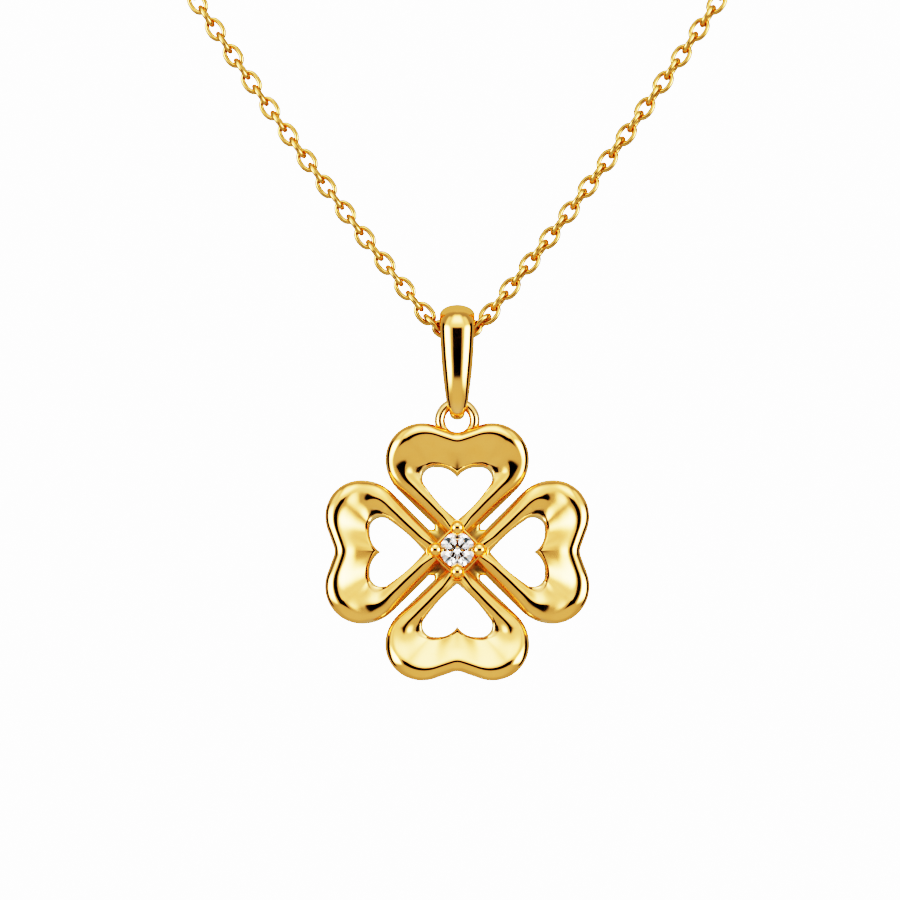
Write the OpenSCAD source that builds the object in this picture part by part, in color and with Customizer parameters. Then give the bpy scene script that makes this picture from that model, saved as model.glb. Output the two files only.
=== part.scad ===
// Clover pendant necklace with a small round stone, hung from a fine chain.
// Millimetres. +Z is up, the front faces -Y, and the origin is the top of the
// loop, where the necklace lies on the back of the neck.

/* [Clover] */
// Reach of the two side petals from the clover's centre
petal_reach = 7.47; // [7.4:0.01:7.55]
// Reach of the upright petals as a share of the side petals
upright_share = 0.975; // [0.95:0.005:1]
// Half of the widest part of a petal
petal_half_w = 4.07; // [4.02:0.01:4.1]
// Radius of the two round ends of a petal
lobe_r = 2.09; // [2.05:0.01:2.12]
// Turn of a round end past its tip, up to the outer notch, in degrees
notch_turn = 22; // [18:1:24]
// Gap between two neighbouring petals
petal_gap = 0.4; // [0.3:0.02:0.5]
// Width of one arm, from the gap to the pierced heart
arm_w = 1.24; // [1.2:0.01:1.28]
// Reach of the pierced heart from the clover's centre
hole_reach = 4.93; // [4.9:0.01:5]
// Radius of the outer corners of the pierced heart
hole_corner_r = 0.66; // [0.6:0.01:0.68]
// Radius of the two arcs that meet at the inner notch of the pierced heart
hole_end_r = 1.25; // [1.2:0.01:1.3]
// Turn of those arcs, in degrees
hole_end_turn = 59; // [55:1:60]
// Thickness from the flat back to the crest of the rim
petal_t = 1.4; // [1.3:0.05:1.5]
// Distance of the flat back behind the plane that the pendant hangs in
back_y = 0.56; // [0.5:0.01:0.7]

/* [Setting] */
// Girdle diameter of the round stone
stone_d = 1.96; // [1.9:0.02:2]
// Distance of the girdle in front of the flat back
girdle_h = 1.65; // [1.6:0.05:1.75]
// Distance of the prong tips from the stone's axis
tip_r = 1.21; // [1.2:0.01:1.25]
// Distance of the prong feet from the stone's axis
foot_r = 1.5; // [1.4:0.05:1.55]
// Diameter of the ball on each prong
ball_d = 0.7; // [0.64:0.02:0.74]
// Diameter of a prong below its ball
prong_d = 0.46; // [0.4:0.02:0.5]
// Diameter of the straight bars between the prongs
bar_d = 0.2; // [0.16:0.02:0.24]
// Radius of the low web that joins the arms
web_r = 1.85; // [1.75:0.05:1.9]
// Thickness of that web
web_t = 0.6; // [0.5:0.05:0.65]

/* [Ring and bail] */
// Mean radius of the fixed ring on the top petal
ring_r = 0.955; // [0.94:0.005:0.97]
// Wire diameter of that ring
ring_wire = 0.66; // [0.6:0.02:0.66]
// Half width of the bail at its top
bail_half_w = 1; // [0.9:0.05:1]
// Thickness of the bail at its top
bail_t = 0.9; // [0.8:0.05:0.95]
// Thickness of the bail where the ring hangs in it
bail_low_t = 0.8; // [0.7:0.05:0.8]
// Gap between the bail and what passes through it
bail_gap = 0.09; // [0.07:0.01:0.1]
// Drop from the chain to the wire of the ring, middle to middle
bail_drop = 4.08; // [4.05:0.01:4.2]

/* [Chain and clasp] */
// Width of the chain, its links taken as one round tube
chain_d = 1.1; // [1:0.05:1.1]
// Mean radius of the ring of the clasp
clasp_r = 2.2; // [2:0.05:2.3]
// Wire diameter of the ring of the clasp
clasp_wire = 1.2; // [1:0.05:1.2]
// Mean radius of the two end eyes of the clasp
eye_r = 0.9; // [0.85:0.05:0.95]
// Wire diameter of the end eyes
eye_wire = 0.6; // [0.5:0.05:0.6]

/* [Hidden] */

// Half of the chain's route as [x, z], from inside the bail to the clasp
HALF_ROUTE = [
    [0, -180], [0.5, -179.94], [1, -179.75], [1.5, -179.35], [2.2, -178.5],
    [3, -177.5], [5.25, -174.6], [7.5, -171.6], [9.6, -168.7], [11.7, -165.7],
    [13.8, -162.6], [18, -156.2], [24, -146.6], [30, -136.4], [36, -125.2],
    [42, -112.5], [47, -99.5], [51, -85], [53.5, -70], [54.5, -55],
    [52.6, -40.8], [47.2, -27.5], [38.5, -16.1], [27.3, -7.4], [14.1, -1.9],
    [5.1, -0.2]
];
// Spans at the start of the route that hold one ring of the tube each
short_spans = 10;
chain_sides = 8;

// Section of a petal, one row for each point, from the outer wall over the
// front to the hole and the flat back. Columns: share of the band's width and
// height above the back on the round ends, then the same two on the arms
SECTION = [
    [0.05, 0.00, 0.10, 0.00],
    [0.01, 0.18, 0.03, 0.15],
    [0.00, 0.55, 0.00, 0.45],
    [0.02, 0.95, 0.05, 0.75],
    [0.07, 1.26, 0.18, 0.98],
    [0.15, 1.40, 0.42, 1.20],
    [0.23, 1.33, 0.60, 1.30],
    [0.42, 1.08, 0.72, 1.22],
    [0.65, 0.88, 0.80, 1.05],
    [0.90, 0.78, 0.85, 0.90],
    [0.95, 0.70, 0.92, 0.70],
    [1.00, 0.40, 1.00, 0.40],
    [0.98, 0.00, 0.96, 0.00]
];
section_crest = 1.4;

// Width of the bail down its length. Columns: height of its middle line above
// the chain as a share of the drop, half width as a share of the top
BAIL_WIDTH = [
    [-1.194, 0.42], [-1.12, 0.48], [-1.0, 0.63], [-0.93, 0.68],
    [-0.48, 0.865], [0, 0.98], [0.265, 1]
];

// Steps of the skin along the arms, round ends and notch of half a petal
arm_steps = 7;
lobe_steps = 13;
end_steps = 7;
// Share of the round end's steps over which it turns into an arm
turn_share = 0.55;
// Steps of the bail round its top, down one leg and round its bottom, and
// points in a section of it
bail_top_steps = 20;
bail_leg_steps = 6;
bail_low_steps = 14;
bail_sides = 16;

// Heights of the pendant's pieces, from the chain down
chain_z = HALF_ROUTE[0][1];
hinge_z = chain_z - bail_drop;
ring_z = hinge_z - ring_r;
ring_above_clover = 7.5;
clover_z = ring_z - ring_above_clover;

// Places of the setting, in front of and behind the hanging plane
girdle_y = back_y - girdle_h;
ball_y = girdle_y - 0.17;
bar_y = girdle_y + 0.6;
foot_y = 0.1;

// Proportions of a round brilliant, as shares of its girdle diameter
girdle_share = 0.03;
crown_share = 0.15;
pavilion_share = 0.43;
table_share = 0.57;
star_share = 0.76;
lower_share = 0.25;
seat_gap = 0.03;

// Smooth step from 0 to 1
function ease(t) = let (s = min(max(t, 0), 1)) s * s * (3 - 2 * s);

// Lists without their last or first item, and turned round
function but_last(p) = [for (i = [0:len(p) - 2]) p[i]];
function but_first(p) = [for (i = [1:len(p) - 1]) p[i]];
function reversed(p) = [for (i = [len(p) - 1:-1:0]) p[i]];

// Points on an arc from angle a0 to a1, both ends included
function arc(c, r, a0, a1, n) =
    [for (i = [0:n]) let (a = a0 + (a1 - a0) * i / n) c + r * [cos(a), sin(a)]];

// Running length at each point of a path
function running(p) = [
    for (i = 0, s = 0; i < len(p);
        s = s + (i < len(p) - 1 ? norm(p[i + 1] - p[i]) : 0), i = i + 1) s
];

// A flat path walked in n equal steps, both ends included
function walk(p, n) =
    let (s = running(p), total = s[len(s) - 1],
        us = [for (i = [0:len(p) - 1]) [s[i], p[i][0]]],
        vs = [for (i = [0:len(p) - 1]) [s[i], p[i][1]]])
    [for (k = [0:n]) [lookup(total * k / n, us), lookup(total * k / n, vs)]];

// Faces of a skin over n rings of m points each. The last ring joins the
// first one, or else both ends are capped
function skin_faces(n, m, joined) = concat(
    [for (i = [0:n - (joined ? 1 : 2)], j = [0:m - 1], second = [false, true])
        let (a = i * m + j, b = i * m + (j + 1) % m,
            c = ((i + 1) % n) * m + (j + 1) % m, d = ((i + 1) % n) * m + j)
        second ? [a, c, d] : [a, b, c]],
    joined ? [] : [[for (j = [m - 1:-1:0]) j], [for (j = [0:m - 1]) (n - 1) * m + j]]
);

// Outer edge of half a petal as [across, out]: an arm's edge runs at 45
// degrees, half a gap off the diagonal, and three arcs lead on to the notch
edge_shift = petal_gap / sqrt(2);
edge_start = [[0, 0.45], [0.62, 0.9]];
lobe_c = [petal_half_w - lobe_r, petal_reach - lobe_r];
side_r = (lobe_c[1] - petal_half_w - edge_shift) / (sqrt(2) - 1);
side_c = [petal_half_w - side_r, lobe_c[1]];
notch_r = lobe_c[0] / sin(notch_turn) - lobe_r;
notch_c = [0, lobe_c[1] + (lobe_r + notch_r) * cos(notch_turn)];

// Edge of half the pierced heart, from its point to its inner notch
hole_point = edge_shift + arm_w * sqrt(2);
corner_c = [
    hole_reach - hole_corner_r * (1 + sqrt(2)) - hole_point,
    hole_reach - hole_corner_r
];
hole_end_c = [hole_end_r * sin(hole_end_turn), hole_reach - hole_end_r];
hole_notch = [0, hole_end_c[1] + hole_end_r * cos(hole_end_turn)];

// Ends of the straight arm, on the hole's edge and square across from it
arm_end_in = corner_c + hole_corner_r * [1, -1] / sqrt(2);
arm_end_out = arm_end_in + arm_w * [1, -1] / sqrt(2);

// A half edge as stations: along the arm, round the end, and into the notch
function stations(arm, lobe, end) = concat(
    but_last(walk(arm, arm_steps)),
    but_last(walk(lobe, lobe_steps)),
    walk(end, end_steps)
);

OUTER = stations(
    concat(edge_start, [arm_end_out]),
    concat([arm_end_out], arc(side_c, side_r, -45, 0, 12), arc(lobe_c, lobe_r, 0, 90, 24)),
    concat(arc(lobe_c, lobe_r, 90, 90 + notch_turn, 8),
        arc(notch_c, notch_r, notch_turn - 90, -90, 12))
);
INNER = stations(
    [[0, hole_point], arm_end_in],
    arc(corner_c, hole_corner_r, -45, 90, 24),
    concat([[corner_c[0], hole_reach]],
        but_last(arc(hole_end_c, hole_end_r, 90, 90 + hole_end_turn, 12)), [hole_notch])
);

// How much of an arm the section at station k is, from 1 on the arm to 0
function arm_part(k) = 1 - ease((k - arm_steps) / (turn_share * lobe_steps));

// One section of a petal that stands along +Z, on the side given by its sign
function petal_section(k, side) = [
    for (row = SECTION)
        let (b = arm_part(k),
            share = b * row[2] + (1 - b) * row[0],
            height = b * row[3] + (1 - b) * row[1],
            p = OUTER[k] + (INNER[k] - OUTER[k]) * share)
        [side * p[0], back_y - height * petal_t / section_crest, p[1]]
];

// A petal: the sections up one side and down the other, as one closed band
module petal() {
    last = len(OUTER) - 1;
    rings = concat(
        [for (k = [0:last]) petal_section(k, 1)],
        [for (k = [last - 1:-1:1]) petal_section(k, -1)]
    );
    points = [for (ring = rings) each ring];
    polyhedron(points, skin_faces(len(rings), len(SECTION), true), convexity = 6);
}

// A place in the setting, at a distance from the axis and a depth, on side i
function set_point(r, y, i) = [r * cos(90 * i), y, r * sin(90 * i)];

module ball_at(p, d, sides = 12) {
    translate(p) sphere(d = d, $fn = sides);
}

// Four ball prongs on a low web, and the straight bars between them
module setting() {
    translate([0, back_y, 0]) rotate([90, 0, 0]) cylinder(r = web_r, h = web_t, $fn = 48);
    for (i = [0:3]) {
        ball_at(set_point(tip_r, ball_y, i), ball_d, 20);
        hull() {
            ball_at(set_point(tip_r, ball_y, i), prong_d);
            ball_at(set_point(foot_r, foot_y, i), prong_d);
        }
        hull() {
            ball_at(set_point(foot_r, bar_y, i), bar_d, 8);
            ball_at(set_point(foot_r, bar_y, i + 1), bar_d, 8);
        }
    }
}

// The fixed ring on the top petal, with the fillets that solder it there
module top_ring() {
    translate([0, 0, ring_above_clover]) rotate([90, 0, 0])
        rotate_extrude($fn = 40) translate([ring_r, 0]) circle(d = ring_wire, $fn = 12);
    for (side = [-1, 1]) hull() {
        ball_at([side * ring_r, 0, ring_above_clover - 0.45], ring_wire * 0.8);
        ball_at([side * 1.5, 0, ring_above_clover - 0.95], ring_wire * 0.8);
        ball_at([side * 0.5, 0, ring_above_clover - 0.95], ring_wire * 0.8);
    }
}

// Room for the stone, a little larger all round than the stone is
module stone_room() {
    r = stone_d / 2 + seat_gap;
    half_girdle = stone_d * girdle_share / 2 + seat_gap;
    translate([0, girdle_y, 0]) rotate([90, 0, 0]) rotate_extrude($fn = 48) polygon([
        [0, -half_girdle - stone_d * pavilion_share], [r, -half_girdle], [r, half_girdle],
        [r * table_share, half_girdle + stone_d * crown_share],
        [0, half_girdle + stone_d * crown_share]
    ]);
}

module clover() {
    color("gold") translate([0, 0, clover_z]) {
        difference() {
            union() {
                for (turn = [0, 180]) rotate([0, turn, 0]) scale([1, 1, upright_share]) petal();
                for (turn = [90, 270]) rotate([0, turn, 0]) petal();
                setting();
            }
            stone_room();
        }
        top_ring();
    }
}

// Points of a round brilliant that faces +Z: eight points round the table,
// eight star corners, sixteen points on each edge of the girdle, eight tips
// of the lower halves, and the culet. A kite facet is flat, so its side
// corners lie on the line from the table or the culet to the girdle
module brilliant(d) {
    r = d / 2;
    girdle = d * girdle_share / 2;
    crown = d * crown_share;
    pavilion = d * pavilion_share;
    star_r = star_share * r;
    lower_r = lower_share * r;
    star_z = girdle + crown * (1 - star_share * cos(22.5)) / (1 - table_share);
    lower_z = -girdle - pavilion * (1 - lower_share * cos(22.5));
    points = concat(
        [for (i = [0:7]) [table_share * r * cos(45 * i), table_share * r * sin(45 * i), girdle + crown]],
        [for (i = [0:7]) [star_r * cos(45 * i + 22.5), star_r * sin(45 * i + 22.5), star_z]],
        [for (j = [0:15]) [r * cos(22.5 * j), r * sin(22.5 * j), girdle]],
        [for (j = [0:15]) [r * cos(22.5 * j), r * sin(22.5 * j), -girdle]],
        [for (i = [0:7]) [lower_r * cos(45 * i + 22.5), lower_r * sin(45 * i + 22.5), lower_z]],
        [[0, 0, -girdle - pavilion]]
    );
    star = 8;
    upper = 16;
    under = 32;
    low = 48;
    culet = 56;
    faces = concat(
        [[for (i = [7:-1:0]) i]],
        [for (i = [0:7]) let (n = (i + 1) % 8) each [
            [i, n, star + i],
            [n, upper + 2 * n, star + i],
            [i, star + i, upper + 2 * i],
            [star + i, upper + 2 * i + 1, upper + 2 * i],
            [star + i, upper + 2 * n, upper + 2 * i + 1],
            [low + i, under + 2 * i, under + 2 * i + 1],
            [low + i, under + 2 * i + 1, under + 2 * n],
            [culet, under + 2 * i, low + i],
            [culet, low + i, under + 2 * n]
        ]],
        [for (j = [0:15]) let (n = (j + 1) % 16) each [
            [upper + j, upper + n, under + n], [upper + j, under + n, under + j]
        ]]
    );
    polyhedron(points, faces, convexity = 2);
}

module diamond() {
    color("white") translate([0, girdle_y, clover_z]) rotate([90, 0, 0]) brilliant(stone_d);
}

// Middle line of the bail as [y, z] and its outward angle: an arc round the
// chain, an arc round the wire of the ring, and straight legs between them
bail_top_r = chain_d / 2 + bail_gap + bail_t / 2;
bail_low_r = ring_wire / 2 + bail_gap + bail_low_t / 2;
bail_lean = asin((bail_top_r - bail_low_r) / bail_drop);
function bail_stations() =
    let (top = [0, 0], low = [0, -bail_drop], turn = 180 + 2 * bail_lean,
        low_turn = 180 - 2 * bail_lean,
        up = [for (i = [0:bail_top_steps]) let (a = -bail_lean + turn * i / bail_top_steps)
            [top + bail_top_r * [cos(a), sin(a)], a]],
        down = [for (i = [0:bail_low_steps]) let (a = 180 + bail_lean + low_turn * i / bail_low_steps)
            [low + bail_low_r * [cos(a), sin(a)], a]],
        leg = function (p, q) [for (i = [1:bail_leg_steps - 1])
            [p[0] + (q[0] - p[0]) * i / bail_leg_steps, p[1]]])
    concat(up, leg(up[bail_top_steps], down[0]), down,
        leg(down[bail_low_steps], [up[0][0], 360 - bail_lean]));

// The bail: a polished loop, wide at the top and narrow at the bottom, with
// an oval section
module bail() {
    route = bail_stations();
    points = [for (s = route)
        let (rise = s[0][1] / bail_drop,
            half_w = bail_half_w * lookup(rise, BAIL_WIDTH),
            half_t = (bail_low_t + (bail_t - bail_low_t) * ease(rise + 1)) / 2)
        for (j = [0:bail_sides - 1])
            let (a = -360 * j / bail_sides, off = half_t * sin(a))
            [half_w * cos(a), s[0][0] + off * cos(s[1]), s[0][1] + off * sin(s[1])]
    ];
    color("gold") translate([0, 0, chain_z])
        polyhedron(points, skin_faces(len(route), bail_sides, true), convexity = 4);
}

// A smooth curve through four points of the route, at a share of its middle
// span, by the Catmull-Rom rule
function curve(p, q, r, s, t) =
    (2 * q + (r - p) * t + (2 * p - 5 * q + 4 * r - s) * t * t
        + (3 * q - p - 3 * r + s) * t * t * t) / 2;

// The whole route from clasp to clasp, with one or two steps in each span
function full_route() =
    let (left = [for (p = reversed(but_first(HALF_ROUTE))) [-p[0], p[1]]],
        route = concat(left, HALF_ROUTE), last = len(route) - 1,
        middle = len(left))
    [for (i = [0:last - 1])
        let (steps = i >= middle - short_spans && i < middle + short_spans ? 1 : 2)
        for (k = [0:steps - 1])
            curve(route[max(i - 1, 0)], route[i], route[i + 1],
                route[min(i + 2, last)], k / steps),
        route[last]
    ];

// The chain as a tube of its real width and length, swept along the route
module chain() {
    path = full_route();
    last = len(path) - 1;
    points = [for (i = [0:last])
        let (way = path[min(i + 1, last)] - path[max(i - 1, 0)], u = way / norm(way))
        for (j = [0:chain_sides - 1])
            let (a = -360 * (j + 0.5) / chain_sides, off = chain_d / 2 * sin(a))
            [path[i][0] - u[1] * off, chain_d / 2 * cos(a), path[i][1] + u[0] * off]
    ];
    color("goldenrod") polyhedron(points, skin_faces(last + 1, chain_sides, false), convexity = 6);
}

module wire_ring(r, wire) {
    rotate([90, 0, 0]) rotate_extrude($fn = 64) translate([r, 0]) circle(d = wire, $fn = 32);
}

// The hidden clasp at the top of the loop: a plain ring with an eye at each
// side for the ends of the chain
module clasp() {
    eye_x = clasp_r + clasp_wire / 2 + eye_r;
    color("gold") {
        wire_ring(clasp_r, clasp_wire);
        for (side = [-1, 1]) translate([side * eye_x, 0, 0]) wire_ring(eye_r, eye_wire);
    }
}

clover();
diamond();
bail();
chain();
clasp();
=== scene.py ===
"""Looks of a clover pendant necklace: polished gold, a small round stone and a fine cable chain.

Sizes are millimetres in the classes and metres in the meshes. +Z is up and the front faces -Y.
The origin is the top of the loop, where the necklace lies on the back of the neck.
"""

from __future__ import annotations

import logging
from collections.abc import Sequence
from dataclasses import dataclass, field, replace
from enum import Enum

import bpy
import numpy as np
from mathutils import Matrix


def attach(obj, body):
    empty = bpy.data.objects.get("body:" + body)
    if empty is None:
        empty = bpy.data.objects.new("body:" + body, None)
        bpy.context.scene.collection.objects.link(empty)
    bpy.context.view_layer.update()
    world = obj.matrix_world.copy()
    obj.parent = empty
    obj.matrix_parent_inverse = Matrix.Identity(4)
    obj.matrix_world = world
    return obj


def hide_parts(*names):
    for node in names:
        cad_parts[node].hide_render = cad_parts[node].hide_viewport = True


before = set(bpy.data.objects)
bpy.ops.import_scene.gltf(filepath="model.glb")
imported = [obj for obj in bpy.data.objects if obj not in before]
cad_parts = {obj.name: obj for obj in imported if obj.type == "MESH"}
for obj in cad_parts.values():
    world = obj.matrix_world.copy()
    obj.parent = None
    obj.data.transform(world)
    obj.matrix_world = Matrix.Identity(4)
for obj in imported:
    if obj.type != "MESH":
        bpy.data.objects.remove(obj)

MM = 0.001
LOG = logging.getLogger("necklace")

# Heights of the chain's lowest point and of the clover's centre
CHAIN_Z = -180.0
CLOVER_Z = -192.535

# Degrees by which the camera looks up
CAMERA_TILT = 6.5

# Angles of the four petals and prongs
SIDES = (0, 90, 180, 270)

# Rise of a ball's last row of directions, just short of its pole, and a direction along no axis
POLE = 0.496 * np.pi
ODD_WAY = (0.31, 0.17, 0.93)

# Round wire has few sides, so only edges that turn by more degrees than this stay sharp on it
WIRE_SHARP = 80.0

Material = bpy.types.Material
Socket = bpy.types.NodeSocket


class Body(Enum):
    """The three bodies of the necklace that pieces ride on."""

    NECKLACE = "necklace"
    BAIL = "bail"
    PENDANT = "pendant"


class Slot(Enum):
    """The material slots of the record."""

    GOLD = "gold"
    CHAIN_GOLD = "chain_gold"
    STONE = "stone"


def ease(t: np.ndarray) -> np.ndarray:
    """Smooth step: 0 below 0, 1 above 1, and 3 t^2 - 2 t^3 between them."""
    s = np.clip(t, 0.0, 1.0)
    return s * s * (3 - 2 * s)


def turned(degrees: np.ndarray | float) -> np.ndarray:
    """Unit vectors (cosine, sine) of angles in degrees."""
    a = np.radians(degrees)
    return np.stack([np.cos(a), np.sin(a)], -1)


def arc(centre: tuple[float, float], radius: float, start: float, end: float, steps: int = 48) -> np.ndarray:
    """Points on a flat arc: the centre plus the radius times the unit vector of each angle.

    Args:
        centre: Middle of the arc.
        radius: Its radius.
        start: First angle in degrees.
        end: Last angle in degrees.
        steps: Number of equal steps.

    Returns:
        The points, one row each.
    """
    return np.asarray(centre) + radius * turned(np.linspace(start, end, steps + 1))


def lengths_along(path: np.ndarray) -> np.ndarray:
    """Running length at each point of a path, 0 at its first point."""
    steps = np.linalg.norm(np.diff(path, axis=0), axis=1)
    return np.concatenate([[0.0], np.cumsum(steps)])


def at_lengths(path: np.ndarray, wanted: np.ndarray) -> np.ndarray:
    """Points of a path at given running lengths, each column read off by straight lines."""
    s = lengths_along(path)
    return np.stack([np.interp(wanted, s, path[:, c]) for c in range(path.shape[1])], -1)


def walk(path: np.ndarray, steps: int) -> np.ndarray:
    """A path walked in equal steps, both ends included."""
    return at_lengths(path, np.linspace(0.0, lengths_along(path)[-1], steps + 1))


def flowing(points: np.ndarray, per_span: int) -> np.ndarray:
    """A smooth curve through points by the Catmull-Rom rule, its end points doubled.

    Args:
        points: The points that it passes through, one row each.
        per_span: Steps from one point to the next.

    Returns:
        The curve's points, both ends included.
    """
    q = np.concatenate([points[:1], points, points[-1:]])
    t = (np.arange(per_span) / per_span)[None, :, None]
    a, b, c, d = (q[i : len(q) - 3 + i, None, :] for i in range(4))
    spans = (2 * b + (c - a) * t + (2 * a - 5 * b + 4 * c - d) * t**2 + (3 * b - a - 3 * c + d) * t**3) / 2
    return np.concatenate([spans.reshape(-1, points.shape[1]), points[-1:]])


@dataclass
class Shell:
    """A closed surface.

    Attributes:
        points: Its points in millimetres, one row each.
        quads: Its four-sided faces, as rows of point numbers.
        tris: Its three-sided faces.
    """

    points: np.ndarray
    quads: np.ndarray
    tris: np.ndarray = field(default_factory=lambda: np.zeros((0, 3), int))

    def triangles(self) -> np.ndarray:
        """All faces as triangles, each four-sided face cut along its first diagonal."""
        return np.concatenate([self.quads[:, [0, 1, 2]], self.quads[:, [0, 2, 3]], self.tris])

    def facing_out(self) -> Shell:
        """Turns the faces so that the volume inside them is positive.

        Returns:
            This shell, or a new one with every face turned.
        """
        a, b, c = (self.points[self.triangles()[:, i]] for i in range(3))
        if np.einsum("ij,ij->", a, np.cross(b, c)) >= 0:
            return self
        return Shell(self.points, self.quads[:, ::-1], self.tris[:, ::-1])

    def moved(self, shift: tuple[float, float, float]) -> Shell:
        """The shell moved by a shift."""
        return Shell(self.points + np.asarray(shift), self.quads, self.tris)

    def turned_about_y(self, degrees: float, z_share: float) -> Shell:
        """The shell with its height scaled, then turned about the Y axis.

        Args:
            degrees: The turn.
            z_share: Share by which the height is scaled first.

        Returns:
            The new shell.
        """
        c, s = turned(degrees)
        x, y, z = (self.points * (1.0, 1.0, z_share)).T
        return Shell(np.stack([x * c + z * s, y, z * c - x * s], -1), self.quads, self.tris)


def loft(rings: np.ndarray, joined: bool) -> Shell:
    """A skin over a stack of closed rings: point j of ring i joins point j of ring i + 1.

    Args:
        rings: Array of rings by points by coordinates.
        joined: Whether the last ring joins the first. If not, both ends close on their mean point.

    Returns:
        The closed shell, facing out.
    """
    count, around = rings.shape[:2]
    here = np.arange(count * around).reshape(count, around)
    beside = np.roll(here, -1, axis=1)
    quads = np.stack([here, beside, np.roll(beside, -1, axis=0), np.roll(here, -1, axis=0)], -1)
    points = rings.reshape(-1, 3)
    if joined:
        return Shell(points, quads.reshape(-1, 4)).facing_out()
    first, last = count * around, count * around + 1
    ends = [
        np.stack([np.full(around, first), beside[0], here[0]], -1),
        np.stack([np.full(around, last), here[-1], beside[-1]], -1),
    ]
    points = np.concatenate([points, rings[[0, -1]].mean(axis=1)])
    return Shell(points, quads[:-1].reshape(-1, 4), np.concatenate(ends)).facing_out()


def hull_of_balls(centres: np.ndarray, radius: float, around: int = 48, rows: int = 16) -> Shell:
    """The smooth hull of equal balls: for each outward direction, the centre that lies furthest
    that way plus the radius times the direction. The poles look along the Y axis.

    Args:
        centres: Centres of the balls, one row each.
        radius: Radius of each ball.
        around: Directions round the Y axis.
        rows: Directions from one pole to the other.

    Returns:
        The closed shell.
    """
    turn = np.linspace(0.0, 2 * np.pi, around, endpoint=False)[None, :]
    rise = np.linspace(-POLE, POLE, rows)[:, None]
    out = np.stack([np.cos(rise) * np.cos(turn), np.sin(rise) + 0 * turn, np.cos(rise) * np.sin(turn)], -1)
    furthest = np.argmax(out @ centres.T, axis=-1)
    return loft(centres[furthest] + radius * out, joined=False)


def spun(start: np.ndarray, end: np.ndarray, profile: np.ndarray, around: int) -> Shell:
    """A profile spun about the line from start to end: each row gives a distance along the line
    from start and a radius.

    Args:
        start: A point of the axis.
        end: Another point of the axis.
        profile: Rows of (distance along, radius).
        around: Points in each ring.

    Returns:
        The closed shell.
    """
    axis = (end - start) / np.linalg.norm(end - start)
    side = np.cross(axis, ODD_WAY)
    side /= np.linalg.norm(side)
    round_it = turned(np.linspace(0, 360, around, endpoint=False)) @ np.stack([side, np.cross(axis, side)])
    rings = start + profile[:, :1, None] * axis + profile[:, 1:, None] * round_it
    return loft(rings, joined=False)


def wire_ring(radius: float, wire: np.ndarray | float, around: int = 96, sides: int = 28) -> Shell:
    """A ring of wire in the XZ plane: a circle of the wire's radius carried round a circle.

    Args:
        radius: Mean radius of the ring.
        wire: Radius of the wire, or one radius for each step round the ring.
        around: Steps round the ring.
        sides: Points round the wire.

    Returns:
        The closed shell.
    """
    out = turned(np.linspace(0, 360, around, endpoint=False))[:, None, :]
    cut = turned(np.linspace(0, 360, sides, endpoint=False))[None, :, :]
    thick = np.broadcast_to(wire, (around,))[:, None]
    reach = radius + thick * cut[..., 0]
    rings = np.stack([reach * out[..., 0], thick * cut[..., 1], reach * out[..., 1]], -1)
    return loft(rings, joined=True)


class NodeSketch:
    """Short hand for building one material's shader graph."""

    def __init__(self, name: str) -> None:
        """Starts an empty material with only its output.

        Args:
            name: The material's name.
        """
        self.material = bpy.data.materials.new(name)
        self.material.use_nodes = True
        self.tree = self.material.node_tree
        self.tree.nodes.clear()
        self.output = self.tree.nodes.new("ShaderNodeOutputMaterial")

    def add(self, kind: str, inputs: dict[str, object] | None = None, **options: object) -> bpy.types.Node:
        """Adds a node.

        Args:
            kind: The node's type, without its prefix.
            inputs: Values or sockets for its inputs, by name.
            **options: Settings of the node itself.

        Returns:
            The node.
        """
        node = self.tree.nodes.new("ShaderNode" + kind)
        for name, value in options.items():
            setattr(node, name, value)
        for name, value in (inputs or {}).items():
            if isinstance(value, Socket):
                self.tree.links.new(value, node.inputs[name])
            else:
                node.inputs[name].default_value = value
        return node

    def object_places(self, scale: tuple[float, float, float] = (1, 1, 1)) -> Socket:
        """Object coordinates, in millimetres times a scale for each axis."""
        scaled = {"Vector": self.add("TexCoord").outputs["Object"], "Scale": tuple(s / MM for s in scale)}
        return self.add("Mapping", scaled).outputs["Vector"]

    def noise(self, places: Socket, scale: float, detail: float) -> Socket:
        """Soft random values from 0 to 1 at places, finer with a larger scale."""
        return self.add("TexNoise", {"Vector": places, "Scale": scale, "Detail": detail}).outputs["Fac"]

    def ramp(self, value: Socket, stops: Sequence[tuple[float, tuple[float, float, float]]]) -> Socket:
        """Colours read off a ramp.

        Args:
            value: The place on the ramp, from 0 to 1.
            stops: Rows of (place, colour).

        Returns:
            The colour.
        """
        node = self.add("ValToRGB", {"Fac": value})
        band = node.color_ramp.elements
        for end in (0, -1):
            band[end].position, band[end].color = stops[end][0], (*stops[end][1], 1)
        for place, colour in stops[1:-1]:
            band.new(place).color = (*colour, 1)
        return node.outputs["Color"]

    def spread(
        self, value: Socket, low: Socket | float, high: float, start: float = 0.3, end: float = 0.7
    ) -> Socket:
        """A value from start to end spread over low to high."""
        limits = {"Value": value, "From Min": start, "From Max": end, "To Min": low, "To Max": high}
        return self.add("MapRange", limits).outputs["Result"]

    def mixed(self, share: Socket, one: Socket, other: Socket) -> Socket:
        """A mix of two colours.

        Args:
            share: Share of the second colour.
            one: The first colour.
            other: The second colour.

        Returns:
            The mix.
        """
        node = self.add("Mix", {"Factor": share}, data_type="RGBA")
        self.tree.links.new(one, node.inputs[6])
        self.tree.links.new(other, node.inputs[7])
        return node.outputs[2]

    def done(self, shader: Socket) -> Material:
        """Puts the shader on the surface and gives the material."""
        self.tree.links.new(shader, self.output.inputs["Surface"])
        return self.material


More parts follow.
